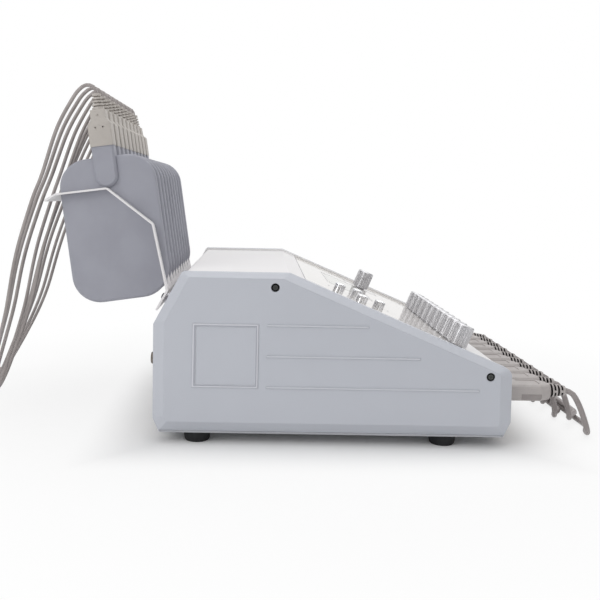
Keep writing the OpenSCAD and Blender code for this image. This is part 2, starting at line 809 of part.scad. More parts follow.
module power_rocker() {
    color([0.15, 0.15, 0.16])
        translate([rocker_at[0], rear_face_y - axle_depth, rocker_at[1]]) rotate([8, 0, 0]) {
            difference() {
                intersection() {
                    translate([-4.9, -1.5, -7.5]) cube([9.8, 9, 15]);
                    rotate([0, 90, 0]) cylinder(r = 8, h = 20, center = true);
                }
                translate([-6, 16.6, 0]) rotate([0, 90, 0]) cylinder(r = 11, h = 12);
            }
            rotate([0, 90, 0]) cylinder(r = axle_r, h = 12.4, center = true);
        }
}

module fuse_holder() {
    color([0.5, 0.48, 0.46]) translate([fuse_at[0], rear_face_y, fuse_at[1]]) rotate([-90, 0, 0]) {
        difference() {
            rotate_extrude() polygon([
                [0, -24], [5.8, -24], [5.8, 0], [8, 0], [8, 2], [6.2, 2], [6.2, 8], [5.4, 9], [0, 9]
            ]);
            for (a = [0:30:330]) rotate(a) translate([6.5, 0, 3]) cylinder(r = 0.6, h = 7, $fn = 16);
            translate([-5, -0.6, 8]) cube([10, 1.2, 2]);
        }
        translate([0, 0, -5.6]) difference() {
            cylinder(r = 9, h = 2.5, $fn = 6);
            translate([0, 0, -1]) cylinder(r = 5.9, h = 5);
        }
    }
}

module main_board() {
    pillar_h = 8;
    z = z_base + tray_t + pillar_h;
    color([0.12, 0.42, 0.28]) {
        difference() {
            translate([-150, -215, z]) cube([215, 190, 1.6]);
            for (x = [-144, 59], y = [-209, -31]) translate([x, y, z - 1]) cylinder(r = 1.7, h = 4);
        }
        for (k = [0:6]) translate([-130 + k * 28, -150, z + 1.6]) cube([14, 30, 6]);
        for (k = [0:4]) translate([-120 + k * 40, -70, z + 1.6]) cylinder(r = 7, h = 22);
    }
    color([0.8, 0.8, 0.8]) for (x = [-144, 59], y = [-209, -31])
        translate([x, y, z_base + tray_t]) difference() {
            cylinder(r = 3.5, h = pillar_h);
            translate([0, 0, 1]) cylinder(r = 1.6, h = 8);
        }
}

module transformer() {
    z = z_base + tray_t;
    color([0.35, 0.33, 0.32]) translate([110, -60, z]) {
        difference() {
            translate([-33, -28, 1.5]) cube([66, 56, 55]);
            for (x = [-1, 1]) translate([x * 16 - 6, -30, 14]) cube([12, 60, 30]);
        }
        translate([-45, -28, 0]) cube([90, 56, 1.5]);
    }
    color([0.75, 0.5, 0.2]) translate([110, -60, z + 14.5]) for (x = [-1, 1])
        translate([x * 16 - 5.6, -38, 0]) cube([11.2, 76, 29]);
}

// --- Pads and their rack --------------------------------------------------
module pad_rack() {
    line = bent_line(rack_line, 4);
    color([0.93, 0.93, 0.94]) difference() {
        across(-rack_half_w, rack_half_w)
            polygon(concat(line, reversed(moved_line(line, rack_t))));
        for (k = [0:channels - 1]) {
            translate([pad_x(k) - slot_w / 2, 80, slot_low_z + slot_w / 2])
                cube([slot_w, slot_rear_y - slot_w / 2 - 80, 120]);
            translate([pad_x(k), slot_rear_y - slot_w / 2, 200]) cylinder(d = slot_w, h = 80);
            translate([pad_x(k), 80, slot_low_z + slot_w / 2]) rotate([-90, 0, 0])
                cylinder(d = slot_w, h = 50);
        }
        for (x = rack_screw_x) on_rear_slope(x) cylinder(r = 2.2, h = 30, center = true);
    }
}

module rack_fixings() {
    stand_off = rack_gap + cover_drop;
    for (x = rack_screw_x) on_rear_slope(x, -cover_drop) {
        color([0.1, 0.1, 0.11]) difference() {
            cylinder(r = 6, h = stand_off);
            translate([0, 0, -1]) cylinder(r = 2.1, h = stand_off + 2);
        }
        color([0.6, 0.6, 0.62]) difference() {
            translate([0, 0, stand_off + rack_t]) rotate_extrude() polygon([
                [0, -20], [1.9, -19], [1.9, 0], [4, 0], [4, 1.2], [2.6, 2.6], [0, 3]
            ]);
            for (a = [0, 90]) rotate(a) translate([-2, -0.4, stand_off + rack_t + 1.8])
                cube([4, 0.8, 3]);
        }
    }
}

// The boss has a rounded foot, which rests on the ridge of the rack, and a square top
module pad_boss() {
    translate([-pad_boss_t / 2, 0, boss_foot]) rotate([0, 90, 0])
        cylinder(r = pad_boss_r, h = pad_boss_t);
    translate([-pad_boss_t / 2, -pad_boss_r, boss_foot])
        cube([pad_boss_t, 2 * pad_boss_r, boss_top - boss_foot]);
}

module pad(k) {
    w = pad_w / 2;
    h = pad_h / 2;
    edge = 2;
    box = [[w, -h], [w, h], [-w, h], [-w, -h]];
    full = rounded(box, [for (p = box) pad_corner_r], 5);
    small = rounded(inset(box, even(box, edge)), [for (p = box) pad_corner_r - edge], 5);
    color([0.59, 0.59, 0.63]) on_pad(k) {
        loft(small, full, -pad_t / 2, -pad_t / 2 + edge);
        across(-pad_t / 2 + edge, pad_t / 2 - edge) polygon(full);
        loft(full, small, pad_t / 2 - edge, pad_t / 2);
        pad_boss();
    }
}

module pad_plug(k) {
    color([0.7, 0.68, 0.66]) on_pad(k) {
        difference() {
            across(-pad_plug_t / 2, pad_plug_t / 2) polygon([
                [-12.2, boss_top], [12.2, boss_top], [12.2, 112.2], [8.4, 116.6], [8, 127.2],
                [-8, 127.2], [-9, 116.6], [-12.2, 112.2]
            ]);
            for (p = [[-4, 108], [4, 108], [0, 121]], x = [-1, 1])
                translate([x * pad_plug_t / 2, p[0], p[1]]) rotate([0, 90, 0])
                    cylinder(r = 0.9, h = 1.6, center = true);
        }
        difference() {
            rotate_extrude() polygon([
                [0, 127], [6.6, 127], [6.6, 129], [5.5, 143.6], [4.6, pad_plug_end],
                [0, pad_plug_end]
            ]);
            for (i = [0:3]) translate([0, 0, 130.4 + 3.3 * i]) rotate_extrude()
                polygon([[4, 0], [9, 0], [9, 1.5], [4, 1.5]]);
        }
    }
}

// --- Leads of the pads ----------------------------------------------------
// Point on a pad's axis beyond the end of its plug
function beyond_plug(k, out) =
    let (h = pad_plug_end + out)
    [pad_x(k), pad_centre[0] + h * sin(pad_lean), pad_centre[1] + h * cos(pad_lean)];
function lead_path(k) =
    let (f = k / max(channels - 1, 1), n = len(near_lead))
    [
        beyond_plug(k, 0.3),
        beyond_plug(k, 3.8),
        for (i = [0:n - 1])
            let (p = mix(near_lead[i], far_lead[i], f), sway = lead_sway(k, i / (n - 1)))
            [pad_x(k) + sway[0], p[0] + sway[1], p[1]]
    ];
// How a lead strays from its plain line: nothing at its ends, most half-way down
function lead_sway(k, t) =
    let (most = sin(180 * min(1, max(0, (t - 0.12) / 0.8))))
    [7 * most * sin(97 * k + 160 * t), 5 * most * sin(61 * k + 40)];

module pad_leads() {
    color([0.62, 0.6, 0.6]) for (k = [0:channels - 1]) tube(lead_path(k), lead_d);
}

// --- Connectors at the far ends -------------------------------------------
module inline_connector(d, cord_d) {
    difference() {
        rotate([-90, 0, 0]) rotate_extrude() polygon([
            [0, 0], [cord_d / 2 + 0.6, 0], [d / 2 - 0.6, 9], [d / 2, 10],
            [d / 2, connector_l - 1], [d / 2 - 1, connector_l], [0, connector_l]
        ]);
        translate([0, connector_l - 9, 0]) rotate([-90, 0, 0]) cylinder(r = 1.1, h = 10);
        for (i = [0:3]) translate([0, 13 + 2.4 * i, 0]) rotate([-90, 0, 0]) rotate_extrude()
            polygon([[d / 2 - 0.5, 0], [d, 0], [d, 1.1], [d / 2 - 0.5, 1.1]]);
    }
}

module inline_connectors() {
    color([0.68, 0.66, 0.65]) for (k = [0:channels - 1]) {
        translate(last(cable_tail(k))) inline_connector(connector_d, cable_d);
        translate(last(lead_path(k))) inline_connector(lead_connector_d, lead_d);
    }
}

left_cheek();
right_cheek();
top_cover();
base_tray();
cheek_screws();
rubber_feet();
foot_screws();
panel_overlay();
display_window();
control_board();
potentiometers();
output_sockets();
main_board();
transformer();
mains_inlet();
fuse_holder();
pad_rack();
rack_fixings();
output_plugs();
output_cables();
cable_coil();
coil_ties();
pad_leads();
inline_connectors();
power_rocker();
program_knob();
channel_knob(0);  // channel_knob_1
channel_knob(1);  // channel_knob_2
channel_knob(2);  // channel_knob_3
channel_knob(3);  // channel_knob_4
channel_knob(4);  // channel_knob_5
channel_knob(5);  // channel_knob_6
channel_knob(6);  // channel_knob_7
channel_knob(7);  // channel_knob_8
channel_knob(8);  // channel_knob_9
channel_knob(9);  // channel_knob_10
push_button(0);  // up_button
push_button(1);  // down_button
push_button(2);  // left_button
push_button(3);  // right_button
pad(0);  // pad_1
pad(1);  // pad_2
pad(2);  // pad_3
pad(3);  // pad_4
pad(4);  // pad_5
pad(5);  // pad_6
pad(6);  // pad_7
pad(7);  // pad_8
pad(8);  // pad_9
pad(9);  // pad_10
pad_plug(0);  // pad_plug_1
pad_plug(1);  // pad_plug_2
pad_plug(2);  // pad_plug_3
pad_plug(3);  // pad_plug_4
pad_plug(4);  // pad_plug_5
pad_plug(5);  // pad_plug_6
pad_plug(6);  // pad_plug_7
pad_plug(7);  // pad_plug_8
pad_plug(8);  // pad_plug_9
pad_plug(9);  // pad_plug_10
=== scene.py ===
import math

import bmesh
import bpy
from mathutils import Matrix, Vector


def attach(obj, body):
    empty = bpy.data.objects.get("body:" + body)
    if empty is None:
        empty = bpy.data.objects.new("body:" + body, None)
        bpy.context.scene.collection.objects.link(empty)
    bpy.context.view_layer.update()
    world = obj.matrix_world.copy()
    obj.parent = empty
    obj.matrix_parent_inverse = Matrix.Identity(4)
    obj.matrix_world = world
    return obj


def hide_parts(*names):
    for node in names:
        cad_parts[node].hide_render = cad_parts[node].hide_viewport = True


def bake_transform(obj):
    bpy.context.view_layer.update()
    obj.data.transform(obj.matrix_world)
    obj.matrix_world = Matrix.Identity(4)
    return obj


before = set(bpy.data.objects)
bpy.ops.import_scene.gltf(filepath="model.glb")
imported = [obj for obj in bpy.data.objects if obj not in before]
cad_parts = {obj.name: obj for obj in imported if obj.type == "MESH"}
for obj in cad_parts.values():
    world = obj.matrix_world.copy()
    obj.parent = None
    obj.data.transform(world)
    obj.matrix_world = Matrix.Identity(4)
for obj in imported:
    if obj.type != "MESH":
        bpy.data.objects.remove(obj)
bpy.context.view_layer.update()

channels = 10  # outputs, and pads in the rack
closeTo = 1e-5  # how near to a plane a mesh's corner counts as on it


def deselectAll():
    if bpy.context.object and bpy.context.object.mode != "OBJECT":
        bpy.ops.object.mode_set(mode="OBJECT")
    bpy.ops.object.select_all(action="DESELECT")


def pickOnly(piece):
    deselectAll()
    piece.select_set(True)
    bpy.context.view_layer.objects.active = piece


def settle(piece):
    # the place of a finished piece is in its mesh
    pickOnly(piece)
    bpy.ops.object.transform_apply(location=True, rotation=True, scale=True)


def lerp(a, b, t):
    return a + (b - a) * t


def placeOf(k, pitch):
    # across the console, with channel 0 at the left
    return (k - (channels - 1) / 2) * pitch


def splinePoint(p0, p1, p2, p3, t):
    return 0.5 * (2 * p1 + (p2 - p0) * t + (2 * p0 - 5 * p1 + 4 * p2 - p3) * t * t
                  + (3 * p1 - p0 - 3 * p2 + p3) * t * t * t)


def smoothLine(points, steps=8):
    points = [Vector(p) for p in points]
    line = []
    for i in range(len(points) - 1):
        for s in range(steps):
            line.append(splinePoint(points[max(i - 1, 0)], points[i], points[i + 1],
                                    points[min(i + 2, len(points) - 1)], s / steps))
    return line + [points[-1]]


def lineLength(line):
    return sum((b - a).length for a, b in zip(line, line[1:]))


def evenLine(line, gap):
    # the same line with points at an even spacing
    total = lineLength(line)
    count = max(2, round(total / gap))
    result, i, walked = [line[0].copy()], 0, 0.0
    for n in range(1, count):
        target = total * n / count
        while walked + (line[i + 1] - line[i]).length < target and i < len(line) - 2:
            walked += (line[i + 1] - line[i]).length
            i += 1
        t = (target - walked) / (line[i + 1] - line[i]).length
        result.append(line[i].lerp(line[i + 1], t))
    return result + [line[-1].copy()]


cameraLook = {
    "place": (-0.96543, 0.01218, 0.25437),
    "down": 2.0, "turn": 0.7, "roll": 1.1402,  # degrees
    "lens": 47.259, "sensor": 36,
    "shift": (0.0451, -0.1335),
    "clip": (0.01, 30),
}


def makeCamera():
    down, turn, roll = (math.radians(cameraLook[key]) for key in ("down", "turn", "roll"))
    ahead = Vector((math.cos(down) * math.cos(turn), -math.cos(down) * math.sin(turn),
                    -math.sin(down)))
    right = ahead.cross(Vector((0, 0, 1))).normalized()
    up = right.cross(ahead)
    right, up = (math.cos(roll) * right + math.sin(roll) * up,
                 math.cos(roll) * up - math.sin(roll) * right)
    bpy.ops.object.camera_add()
    camera = bpy.context.object
    camera.matrix_world = Matrix.Translation(cameraLook["place"]) @ Matrix(
        (right, up, -ahead)).transposed().to_4x4()
    camera.data.lens = cameraLook["lens"]
    camera.data.sensor_width = cameraLook["sensor"]
    camera.data.shift_x, camera.data.shift_y = cameraLook["shift"]
    camera.data.clip_start, camera.data.clip_end = cameraLook["clip"]
    bpy.context.scene.camera = camera


makeCamera()
print("camera placed")


cableSet = {
    "thickness": 0.006, "gap": 0.005,  # gap between the points of the finished line
    "socketPitch": 0.033, "socketHeight": 0.0526, "plugEnd": -0.3076,
    # plug to table: aside, share of the way out, share of the drop
    "droop": ((0, 0, 0), (0, 0.27, 0.07), (0.0005, 0.5, 0.3), (0.0025, 0.7, 0.58),
              (0.0065, 0.87, 0.83)),
    # how far in front each cable reaches the table, and how far aside and above it there
    "landing": (0.339, 0.332, 0.328, 0.326, 0.326, 0.326, 0.325, 0.325, 0.324, 0.324),
    "touch": (0.014, 0.0012),
    # table to lane: aside, share of the way to the lane, then straight on
    "slant": ((0.025, 0.25), (0.040, 0.9), (0.054, 1)), "straight": 0.015,
    "lanePitch": 0.0065, "layerPitch": 0.0064, "laneHeight": 0.0031,
    "cornerAt": (0.178, -0.300), "cornerReach": 0.050, "cornerSteps": 12,
    "coilAt": (0.268, -0.185), "coilRim": 0.0696, "turns": 2, "turnSteps": 36,
    "climb": (0.1, 0.65),  # start and length of the part of a turn in which a cable rises a layer
    "leave": (0.003, 0.020, 0.045, 0.070),  # within the rim, then steps along y off the coil
    "spread": 0.0035,  # added between the lanes
    "connector": (0.034, 0.009),  # length and width
    "endY": (0.010, 0.076),  # of the lower and the upper layer's cables
    # before the lower layer's connectors, past them, and before a cable's own one
    "pass": (0.015, 0.004, 0.008),
    "tableGap": 0.0001, "clear": 0.001, "dip": 0.0012,
}

# the pads stand in a row and lean back, with a lead over each
rackSet = {"pitch": 0.027, "padCentre": (0.1709, 0.2126), "lean": 8.6}

leadSet = {
    "thickness": 0.004, "gap": 0.004,
    "plugEnd": 0.1446, "inPlug": (0.0003, 0.0038),
    # the routes of the first and the last lead in (y, z) in millimetres; the rest lie between them
    "near": ((196.4, 363.4), (202.6, 364.6), (209, 361), (217, 350), (233, 318), (248, 269),
             (258, 242), (271, 198), (278, 166), (285, 122), (292, 90), (299, 57), (304, 29),
             (311, 10), (324, 2.1), (345, 2.1), (385, 2.1), (415, 2.4), (430, 3.6)),
    "far": ((196.4, 363.8), (202.8, 365.4), (210, 362), (220, 352), (240, 318), (262, 269),
            (271, 242), (287, 198), (297, 166), (309, 122), (321, 90), (337, 57), (352, 29),
            (364, 10), (379, 2.1), (395, 2.1), (420, 2.1), (437, 2.4), (452, 3.6)),
    # no two leads hang alike: how far, degrees per lead, degrees along it or at the first one
    "swayX": (0.007, 97, 160), "swayY": (0.005, 61, 40),
    "free": (0.12, 0.8),  # start and length of the free part, as shares of the lead
    "tableGap": 0.0001,
}


def wayToLane(k, x, laneY, z):
    # down from the plug, and slantwise into the lane
    s = cableSet
    landY = -s["landing"][k]
    out, drop = s["plugEnd"] - landY, s["socketHeight"] - z
    knots = [(x + aside, s["plugEnd"] - along * out, s["socketHeight"] - down * drop)
             for aside, along, down in s["droop"]]
    knots.append((x + s["touch"][0], landY, z + s["touch"][1]))
    slant = s["slant"][:1] if math.isclose(landY, laneY) else s["slant"]
    knots += [(x + aside, lerp(landY, laneY, share), z) for aside, share in slant]
    knots.append((min(x + slant[-1][0] + s["straight"], s["cornerAt"][0]), laneY, z))
    return smoothLine(knots)


def wayRoundCorner(radius, z):
    # a quarter turn towards the coil
    x, y = cableSet["cornerAt"]
    steps = cableSet["cornerSteps"]
    angles = [math.radians(90 * i / steps) for i in range(steps + 1)]
    return [Vector((x + radius * math.sin(a), y - radius * math.cos(a), z)) for a in angles]


def wayRoundCoil(radius, z):
    # each turn climbs over the two layers of the turn before
    s = cableSet
    x, y = s["coilAt"]
    start, length = s["climb"]
    line = []
    for i in range(s["turns"] * s["turnSteps"] + 1):
        turn, part = divmod(i / s["turnSteps"], 1)
        rise = min(1, max(0, (part - start) / length))
        rise = rise * rise * (3 - 2 * rise)
        a = math.pi - 2 * math.pi * part
        line.append(Vector((x + radius * math.cos(a), y + radius * math.sin(a),
                            z + 2 * s["layerPitch"] * (turn + rise))))
    return line


def wayToConnector(lane, layer, x, radius, z):
    # the upper layer passes over the connectors of the lower one
    s = cableSet
    length, wide = s["connector"]
    within, first, second, third = s["leave"]
    before, past, ahead = s["pass"]
    y = s["coilAt"][1] + math.sqrt(s["coilRim"] ** 2 - radius ** 2) - within
    spreadX = x + (2 - lane) * s["spread"]
    zEnd = wide / 2 + s["tableGap"]
    zOver = wide + s["thickness"] / 2 + s["clear"] if layer else zEnd
    knots = [(x, y, z), (x, y + first, z - s["clear"] * (1 - layer)),
             (lerp(x, spreadX, 0.5), y + second, lerp(z, zOver, 0.5)),
             (spreadX, y + third, zOver + s["clear"]),
             (spreadX, s["endY"][0] - before, zOver)]
    if layer:
        knots.append((spreadX, s["endY"][0] + length + past, zOver))
    knots += [(spreadX, s["endY"][layer] - ahead, zEnd + s["dip"] * layer),
              (spreadX, s["endY"][layer], zEnd)]
    return smoothLine(knots)


def cableRoute(k):
    # plug, table, lane, corner, two turns of the coil, and on to the connector
    s = cableSet
    lane, layer = k // 2, k % 2
    z = s["laneHeight"] + s["layerPitch"] * layer
    laneY = s["cornerAt"][1] - s["cornerReach"] + s["lanePitch"] * lane
    cornerR = s["cornerAt"][1] - laneY
    coilR = s["coilAt"][0] - s["cornerAt"][0] - cornerR
    top = z + 2 * s["layerPitch"] * s["turns"]
    return (wayToLane(k, placeOf(k, s["socketPitch"]), laneY, z) + wayRoundCorner(cornerR, z)
            + wayRoundCoil(coilR, z)
            + wayToConnector(lane, layer, s["cornerAt"][0] + cornerR, coilR, top))


def leadRoute(k):
    # up out of the plug, over, and down to the table behind the rack
    s = leadSet
    x = placeOf(k, rackSet["pitch"])
    lean = math.radians(rackSet["lean"])
    knots = []
    for out in s["inPlug"]:
        h = s["plugEnd"] + out
        knots.append((x, rackSet["padCentre"][0] + h * math.sin(lean),
                      rackSet["padCentre"][1] + h * math.cos(lean)))
    start, length = s["free"]
    wideX, turnX, waveX = s["swayX"]
    wideY, turnY, startY = s["swayY"]
    for i, (near, far) in enumerate(zip(s["near"], s["far"])):
        t = i / (len(s["near"]) - 1)
        swing = math.sin(math.pi * min(1, max(0, (t - start) / length)))
        y, z = (lerp(a, b, k / (channels - 1)) / 1000 for a, b in zip(near, far))
        knots.append((x + wideX * swing * math.sin(math.radians(turnX * k + waveX * t)),
                      y + wideY * swing * math.sin(math.radians(turnY * k + startY)), z))
    lowest = s["thickness"] / 2 + s["tableGap"]
    return [Vector((p.x, p.y, max(p.z, lowest))) for p in smoothLine(knots)]


def cordAlong(name, line, thickness, gap):
    # a round cord on an even line, as a mesh with closed ends
    line = evenLine(line, gap)
    curve = bpy.data.curves.new(name, "CURVE")
    curve.dimensions = "3D"
    curve.bevel_depth = thickness / 2
    curve.bevel_resolution = 3
    curve.use_fill_caps = True
    spline = curve.splines.new("POLY")
    spline.points.add(len(line) - 1)
    for point, place in zip(spline.points, line):
        point.co = (*place, 1)
    cord = bpy.data.objects.new(name, curve)
    bpy.context.collection.objects.link(cord)
    pickOnly(cord)
    bpy.ops.object.convert(target="MESH")
    cord = bpy.context.object
    bpy.ops.object.shade_smooth_by_angle(angle=math.radians(60))
    return cord, line


def makeCables():
    cables = []
    for k in range(channels):
        cable, line = cordAlong("output_cable_%d" % (k + 1), cableRoute(k), cableSet["thickness"],
                                cableSet["gap"])
        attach(cable, "console")
        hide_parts("output_cables", "cable_coil")
        round(lineLength(line), 3)
        cables.append(cable)
        print("output cable", k + 1, round(lineLength(line), 3))
    return cables


def makeLeads():
    leads = []
    for k in range(channels):
        lead, line = cordAlong("pad_lead_%d" % (k + 1), leadRoute(k), leadSet["thickness"],
                               leadSet["gap"])
        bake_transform(lead)
        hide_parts("pad_leads")
        round(lineLength(line), 3)
        leads.append(lead)
        print("pad lead", k + 1, round(lineLength(line), 3))
    return leads


cables = makeCables()
leads = makeLeads()


class Value:
    # a node's output that takes part in plain arithmetic, from either side
    def __init__(self, nodes, socket):
        self.nodes, self.socket = nodes, socket

    def __add__(self, other):
        return self.nodes.reckon("ADD", self, other)

    def __sub__(self, other):
        return self.nodes.reckon("SUBTRACT", self, other)

    def __rsub__(self, other):
        return self.nodes.reckon("SUBTRACT", other, self)

    def __mul__(self, other):
        return self.nodes.reckon("MULTIPLY", self, other)

    def __lt__(self, other):
        return self.nodes.reckon("LESS_THAN", self, other)

    def __gt__(self, other):
        return self.nodes.reckon("GREATER_THAN", self, other)

    def __abs__(self):
        return self.nodes.reckon("ABSOLUTE", self)

    def most(self, other):
        return self.nodes.reckon("MAXIMUM", self, other)

    def least(self, other):
        return self.nodes.reckon("MINIMUM", self, other)

    __radd__, __rmul__ = __add__, __mul__


class Nodes:
    # a node tree, of a material or of the world
    def __init__(self, tree):
        self.tree = tree

    def add(self, kind, settings=None, inputs=None, output=0):
        node = self.tree.nodes.new(kind)
        for key, value in (settings or {}).items():
            setattr(node, key, value)
        for key, value in (inputs or {}).items():
            self.feed(node.inputs[key], value)
        return Value(self, node.outputs[output])

    def feed(self, socket, value):
        if isinstance(value, Value):
            self.tree.links.new(value.socket, socket)
        else:
            socket.default_value = value

    def reckon(self, operation, a, b=0.0):
        return self.add("ShaderNodeMath", {"operation": operation}, {0: a, 1: b})

    def rays(self, *kinds):
        # 1 for a ray of one of these kinds
        seen = 0
        for kind in kinds:
            seen = self.add("ShaderNodeLightPath", output="Is %s Ray" % kind).most(seen)
        return seen


def paint(r, g, b):
    # a colour from its everyday 0 to 255 values
    def light(v):
        v /= 255
        return v / 12.92 if v <= 0.04045 else ((v + 0.055) / 1.055) ** 2.4
    return light(r), light(g), light(b), 1


class Finish(Nodes):
    # a material whose surface changes with the spot on the object
    def __init__(self, name, **plain):
        self.material = bpy.data.materials.new(name)
        self.material.use_nodes = True
        super().__init__(self.material.node_tree)
        self.shader = self.tree.nodes["Principled BSDF"]
        self.spot = self.add("ShaderNodeTexCoord", output="Object")
        for socket, value in plain.items():
            self.set(socket.replace("_", " "), value)

    def set(self, socket, value):
        self.feed(self.shader.inputs[socket], value)

    def axis(self, which):
        return self.add("ShaderNodeSeparateXYZ", {}, {"Vector": self.spot},
                        output="XYZ".index(which))

    def far(self, a, b):
        # distance from a point, out of two offsets
        return self.reckon("SQRT", a * a + b * b)

    def band(self, value, low, high):
        # 1 between low and high
        soft = 0.0002
        return (self.ramp(value, low - soft, low + soft)
                * (1 - self.ramp(value, high - soft, high + soft)))

    def stretched(self, scale):
        return self.add("ShaderNodeMapping", {}, {"Vector": self.spot, "Scale": scale})

    def noise(self, scale, detail, where=None):
        return self.add("ShaderNodeTexNoise", {},
                        {"Vector": where or self.spot, "Scale": scale, "Detail": detail})

    def ramp(self, value, low, high):
        # 0 below low, 1 above high
        return self.add("ShaderNodeMapRange", {"interpolation_type": "SMOOTHSTEP"},
                        {"Value": value, "From Min": low, "From Max": high})

    def mixed(self, mask, a, b):
        return self.add("ShaderNodeMix", {"data_type": "RGBA"}, {0: mask, 6: a, 7: b}, output=2)

    def raised(self, height, depth, rounded=0.0):
        # bump, over edges that a real moulding or casting has rounded
        bump = {"Height": height, "Distance": depth}
        if rounded:
            bump["Normal"] = self.add("ShaderNodeBevel", {"samples": 8}, {"Radius": rounded})
        self.set("Normal", self.add("ShaderNodeBump", {}, bump))
        return self

    def lit(self, share, other, tone):
        # an even grey light takes this share of the other shader's place
        light = self.add("ShaderNodeEmission", {},
                         {"Color": (tone, tone, tone, 1), "Strength": 1.0})
        self.feed(self.tree.nodes["Material Output"].inputs["Surface"],
                  self.add("ShaderNodeMixShader", {}, {0: share, 1: other, 2: light}))


def mouldedPlastic(name, colour, shade, grain=1800, depth=0.00006, rough=0.5, rounded=0.0,
                   marks=None):
    # a fine spark-eroded grain, a slow drift of colour and a few polished patches
    f = Finish(name)
    drift = f.noise(9, 3)
    fleck = f.ramp(f.noise(grain, 1), 0.35, 0.75)
    skin = f.mixed(drift * 0.7 + fleck * 0.3, colour, shade)
    f.set("Base Color", marks(f, skin) if marks else skin)
    f.set("Roughness", rough - 0.08 + f.noise(40, 4) * 0.16)
    return f.raised(fleck + f.noise(grain * 0.4, 2) * 0.6, depth, rounded)


def powderCoat(name, colour, shade):
    # sprayed and baked: the skin of an orange, with dust in its hollows
    f = Finish(name)
    peel = f.noise(520, 2)
    f.set("Base Color", f.mixed(f.noise(6, 3) * 0.6 + peel * 0.3, colour, shade))
    f.set("Roughness", 0.34 + f.noise(70, 3) * 0.1)
    return f.raised(peel + f.noise(2400, 1) * 0.25, 0.00005)


def softRubber(name, colour, shade, grain, rough):
    # matt, handled in clouds, with a fine fleck
    f = Finish(name)
    cloud = f.noise(26, 4)
    fleck = f.noise(grain, 2)
    f.set("Base Color", f.mixed(f.ramp(cloud, 0.3, 0.7) * 0.6 + fleck * 0.4, colour, shade))
    f.set("Roughness", rough + cloud * 0.15)
    return f.raised(fleck, 0.00003)


def turnedMetal(name, colour, shade, rough, streak=(1, 1, 1), grain=900, metallic=1.0, marks=None,
                uneven=0.12, depth=0.00001):
    # fine drawing lines along one direction, with duller patches
    f = Finish(name, Metallic=metallic)
    lines = f.noise(grain, 3, f.stretched(streak))
    cloud = f.noise(60, 3)
    skin = f.mixed(lines * 0.5 + cloud * 0.5, colour, shade)
    f.set("Base Color", marks(f, skin) if marks else skin)
    f.set("Roughness", rough + lines * uneven + cloud * (uneven / 2))
    return f.raised(lines, depth)


def glossyFilm(name, colour, shade, rough):
    # a smooth sheet, laid with a faint wave
    f = Finish(name, IOR=1.4)
    f.set("Base Color", f.mixed(f.noise(14, 3), colour, shade))
    f.set("Roughness", rough + f.noise(90, 4) * 0.05)
    return f.raised(f.noise(55, 2), 0.000015)


# edges of the marks on the cheeks, in (y, z)
cheekSet = {
    "frame": (0.0148, 0.0588, 0.0803, 0.1225),
    "ridges": ((-0.0952, 0.1217), (-0.1477, 0.0906), (-0.2073, 0.0595)),
    "ridgeStart": 0.0063, "ridgeHalf": 0.001,
    # how far from an edge the painted highlight and the painted shade lie, negative inside
    "paintedHighlight": (-0.0013, 0.0001), "paintedHighlightInside": (-0.0036, -0.0025), "paintedHighlightRidge": (-0.0006, -0.0001),
    "paintedShade": (-0.0023, -0.0014), "paintedShadeOutside": (0.0003, 0.0009),
    # colours of the painted highlight and the painted shade on the raised lines
    "bright": paint(214, 215, 222), "shadow": paint(166, 168, 178),
    # the inner faces are painted near white: painted light on the lip, which stands in shade beside
    # the panel
    "lip": 0.1654, "lipPaintedLight": paint(252, 251, 250),
    # the screw heads darken towards the rim: painted shade of the recess round them
    "screws": ((-0.0012, 0.1597), (-0.2189, 0.0736)), "screwRim": (0.0022, 0.003),
    "screwRecessShade": paint(14, 14, 16),
}

# the plugs' slotted sleeves, and the hollows for the fingers, both with painted shade
sleeveSet = {
    "frontY": -0.2886, "radius": 0.05479, "taper": 0.162,  # radius at y = 0, and its growth along y
    # painted shade in the slots over these depths, and on the grip hollows further down
    "slotDepth": (0.0004, 0.0011), "slotShade": paint(26, 24, 25),
    "gripHalf": 0.0153, "gripY": (-0.2783, -0.2573), "gripZ": (0.0456, 0.0516),
    "gripShade": paint(146, 139, 138),
}


def cheekMarks(f, skin):
    # raised lines with a painted highlight on top, and painted shade in the step beside them
    y, z = f.axis("Y"), f.axis("Z")

    def fromBox(y0, z0, y1, z1):
        # distance outside a rectangle, negative within it
        return (abs(y - (y0 + y1) / 2) - (y1 - y0) / 2).most(
            abs(z - (z0 + z1) / 2) - (z1 - z0) / 2)

    edge = fromBox(*cheekSet["frame"])
    bright = f.band(edge, *cheekSet["paintedHighlight"]) + f.band(edge, *cheekSet["paintedHighlightInside"]) * 0.4
    shadow = f.band(edge, *cheekSet["paintedShade"]) + f.band(edge, *cheekSet["paintedShadeOutside"]) * 0.3
    half = cheekSet["ridgeHalf"]
    for end, height in cheekSet["ridges"]:
        edge = fromBox(end, height - half, cheekSet["ridgeStart"], height + half)
        bright = bright + (1 - f.ramp(edge, *cheekSet["paintedHighlightRidge"])) * 0.6
    skin = f.mixed(bright, f.mixed(shadow, skin, cheekSet["shadow"]), cheekSet["bright"])
    # the inner faces, lip included, take the painted light
    return f.mixed(abs(f.axis("X")) < cheekSet["lip"], skin, cheekSet["lipPaintedLight"])


def screwHead(f, skin):
    # the head's own grey in the middle, painted black towards the rim as painted shade of the
    # recess round the head
    first, second = (f.far(f.axis("Y") - y, f.axis("Z") - z) for y, z in cheekSet["screws"])
    return f.mixed(f.ramp(first.least(second), *cheekSet["screwRim"]), skin,
                   cheekSet["screwRecessShade"])


